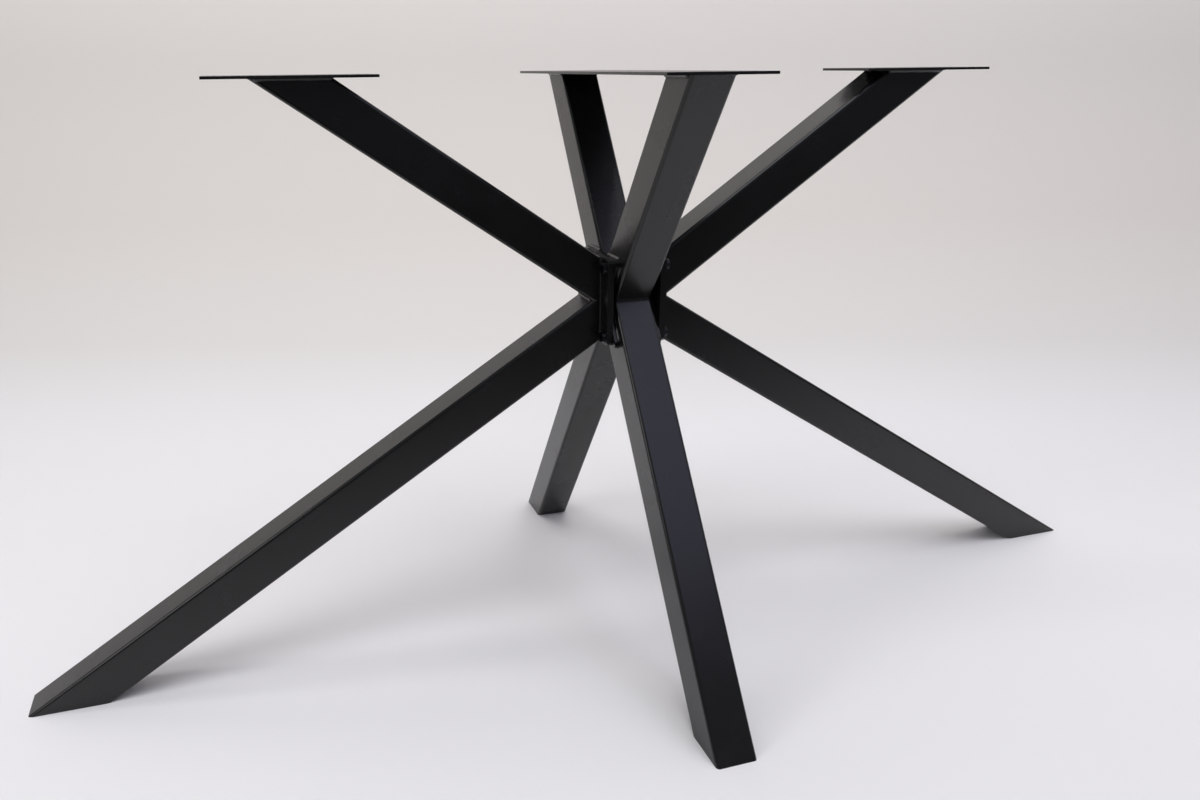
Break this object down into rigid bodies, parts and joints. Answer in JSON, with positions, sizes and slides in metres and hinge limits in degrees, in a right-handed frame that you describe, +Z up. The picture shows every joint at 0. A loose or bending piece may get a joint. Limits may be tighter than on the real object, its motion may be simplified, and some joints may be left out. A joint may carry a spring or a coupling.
{
  "type": "spider table base",
  "caption": "Welded square-tube table base with outward-bent legs on a bolted central hub, each leg ending in a drilled mounting plate above and a level foot below.",
  "frame": {"origin": "on the floor under the middle of the hub", "axes": "+X out along the right leg of the long pair, +Y out along the back leg of the short pair, +Z up"},
  "size_m": [1.5236, 0.7168, 0.72],
  "materials": {
    "powder_coat": "satin black powder coat",
    "bolt_steel": "black oxide"
  },
  "bodies": {
    "root": {"right_upper_arm": "powder_coat", "right_lower_leg": "powder_coat", "right_top_plate": "powder_coat", "right_foot_plate": "powder_coat", "right_flange": "powder_coat", "right_hub_plate": "powder_coat", "right_bolts": "bolt_steel", "back_upper_arm": "powder_coat", "back_lower_leg": "powder_coat", "back_top_plate": "powder_coat", "back_foot_plate": "powder_coat", "left_upper_arm": "powder_coat", "left_lower_leg": "powder_coat", "left_top_plate": "powder_coat", "left_foot_plate": "powder_coat", "left_flange": "powder_coat", "left_hub_plate": "powder_coat", "left_bolts": "bolt_steel", "front_upper_arm": "powder_coat", "front_lower_leg": "powder_coat", "front_top_plate": "powder_coat", "front_foot_plate": "powder_coat"}
  },
  "joints": []
}
